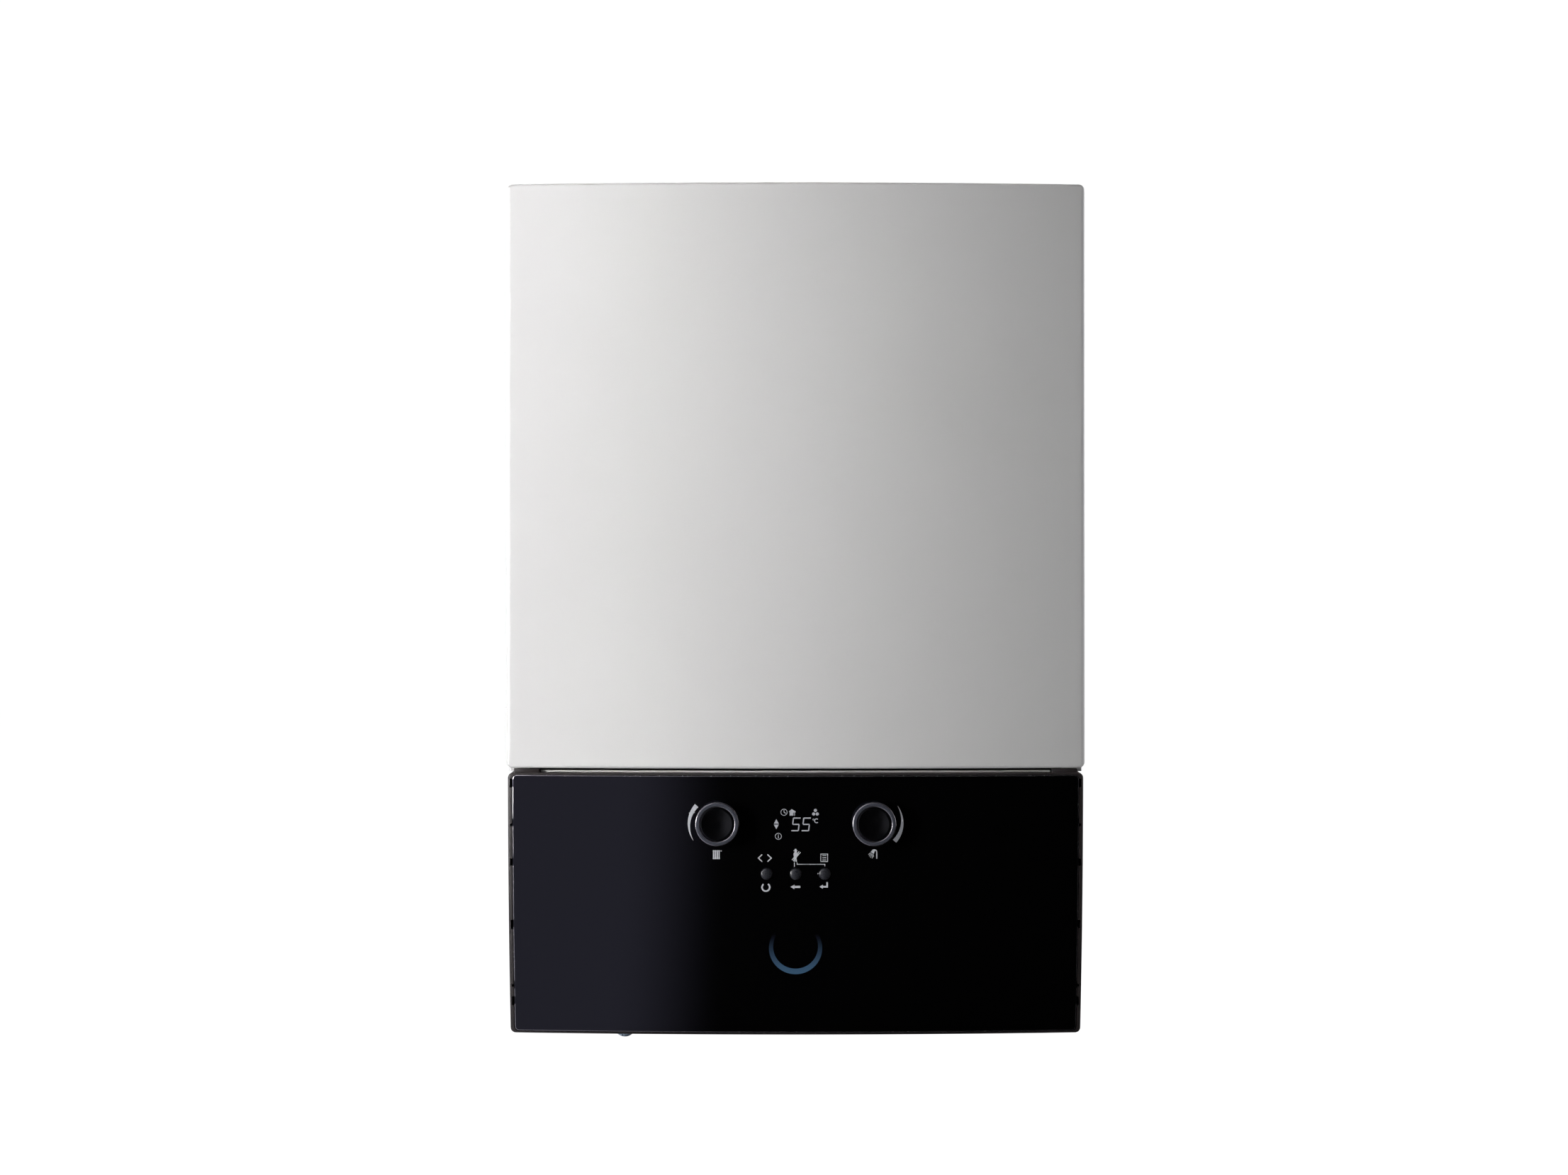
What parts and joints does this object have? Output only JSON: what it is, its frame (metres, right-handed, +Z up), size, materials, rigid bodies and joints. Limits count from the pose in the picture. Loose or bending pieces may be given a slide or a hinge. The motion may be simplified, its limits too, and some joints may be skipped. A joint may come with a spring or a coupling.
{
  "type": "combi boiler",
  "caption": "Wall-hung condensing combi boiler with a convex white cover over a tilting black control panel with knobs, keys and display.",
  "frame": {"origin": "middle of the back of the casing, in the wall plane", "axes": "+Z up, +Y into the wall, +X to the right of someone facing the boiler"},
  "size_m": [0.4, 0.2644, 0.609],
  "materials": {
    "white_paint": "smooth satin white powder coat",
    "zinc": "galvanised sheet steel",
    "gloss_black": "high gloss black",
    "dark_plastic": "matt dark grey",
    "satin_grey": "satin dark grey",
    "light_guide": "clear blue light guide",
    "display": "dark display glass",
    "circuit_board": "green circuit board",
    "steel": "stainless steel",
    "cast_metal": "as-cast aluminium",
    "brass": "plain brass",
    "copper": "copper tube",
    "red_paint": "red enamel",
    "red_plastic": "red moulded plastic",
    "black_rubber": "black sponge rubber",
    "grey_foam": "grey insulating foam",
    "blue_plastic": "pale blue moulded plastic",
    "grey_plastic": "grey polypropylene",
    "white_plastic": "white moulded plastic",
    "ceramic": "glazed ceramic"
  },
  "bodies": {
    "casing": {"back_frame": "zinc", "wall_bracket": "zinc", "left_side_panel": "white_paint", "right_side_panel": "white_paint", "top_panel": "white_paint", "bottom_tray": "zinc", "front_crossbar": "zinc", "casing_seal": "black_rubber", "flue_adapter": "white_plastic", "flue_duct": "grey_plastic", "expansion_vessel": "red_paint", "exchanger_bridge": "zinc", "heat_exchanger_housing": "cast_metal", "heat_exchanger_coil": "steel", "burner": "steel", "burner_door": "cast_metal", "ignition_electrode": "ceramic", "mixture_elbow": "cast_metal", "fan_housing": "cast_metal", "fan_motor": "dark_plastic", "air_mixer": "grey_plastic", "gas_valve": "cast_metal", "gas_pipe": "copper", "flow_pipe": "copper", "return_pipe": "copper", "condensate_pipe": "grey_plastic", "condensate_siphon": "grey_plastic", "flow_block": "brass", "return_block": "brass", "plate_heat_exchanger": "steel", "pump_body": "cast_metal", "pump_motor": "dark_plastic", "auto_air_vent": "brass", "diverter_motor": "dark_plastic", "safety_valve": "brass", "pressure_sensor": "brass", "filling_valve": "brass", "heating_flow_stub": "brass", "hot_water_stub": "brass", "cold_water_stub": "brass", "heating_return_stub": "brass"},
    "cover": {"front_cover": "white_paint", "cover_insulation": "grey_foam"},
    "control_panel": {"panel_frame": "dark_plastic", "panel_fascia": "gloss_black", "lcd_display": "display", "status_light_guide": "light_guide", "control_board": "circuit_board", "control_box_cover": "dark_plastic"},
    "heating_control": {"heating_knob": "gloss_black", "heating_knob_ring": "satin_grey"},
    "hot_water_control": {"hot_water_knob": "gloss_black", "hot_water_knob_ring": "satin_grey"},
    "back_key": {"back_button": "satin_grey"},
    "menu_key": {"menu_button": "satin_grey"},
    "enter_key": {"enter_button": "satin_grey"},
    "fan_rotor": {"fan_impeller": "grey_plastic"},
    "pump_rotor": {"pump_impeller": "grey_plastic"},
    "filling_tap": {"filling_knob": "blue_plastic"},
    "safety_tap": {"safety_valve_knob": "red_plastic"}
  },
  "joints": [
    {"name": "cover_pull_off", "type": "slide", "parent": "casing", "child": "cover", "axis": [0, -1, 0], "range_m": [0, 0.3]},
    {"name": "panel_tilt", "type": "hinge", "parent": "casing", "child": "control_panel", "pos_m": [0, -0.199, -0.29], "axis": [1, 0, 0], "range_deg": [0, 85]},
    {"name": "heating_knob_turn", "type": "hinge", "parent": "control_panel", "child": "heating_control", "pos_m": [-0.054, -0.2554, -0.1465], "axis": [0, -1, 0], "range_deg": [-140, 140]},
    {"name": "hot_water_knob_turn", "type": "hinge", "parent": "control_panel", "child": "hot_water_control", "pos_m": [0.054, -0.2554, -0.1465], "axis": [0, -1, 0], "range_deg": [-140, 140]},
    {"name": "back_press", "type": "slide", "parent": "control_panel", "child": "back_key", "axis": [0, 1, 0], "range_m": [0, 0.0012], "stiffness_N_per_m": 300, "springref_m": -0.0006},
    {"name": "menu_press", "type": "slide", "parent": "control_panel", "child": "menu_key", "axis": [0, 1, 0], "range_m": [0, 0.0012], "stiffness_N_per_m": 300, "springref_m": -0.0006},
    {"name": "enter_press", "type": "slide", "parent": "control_panel", "child": "enter_key", "axis": [0, 1, 0], "range_m": [0, 0.0012], "stiffness_N_per_m": 300, "springref_m": -0.0006},
    {"name": "fan_spin", "type": "hinge", "parent": "casing", "child": "fan_rotor", "pos_m": [0.14, -0.18, 0.15], "axis": [0, 0, 1], "continuous": true},
    {"name": "pump_spin", "type": "hinge", "parent": "casing", "child": "pump_rotor", "pos_m": [0.13, -0.105, -0.185], "axis": [0, -1, 0], "continuous": true},
    {"name": "filling_tap_turn", "type": "hinge", "parent": "casing", "child": "filling_tap", "pos_m": [-0.122, -0.15, -0.295], "axis": [0, 0, -1], "range_deg": [0, 90]},
    {"name": "safety_tap_turn", "type": "hinge", "parent": "casing", "child": "safety_tap", "pos_m": [-0.13, -0.1493, -0.185], "axis": [0, -1, 0], "range_deg": [0, 90]}
  ]
}
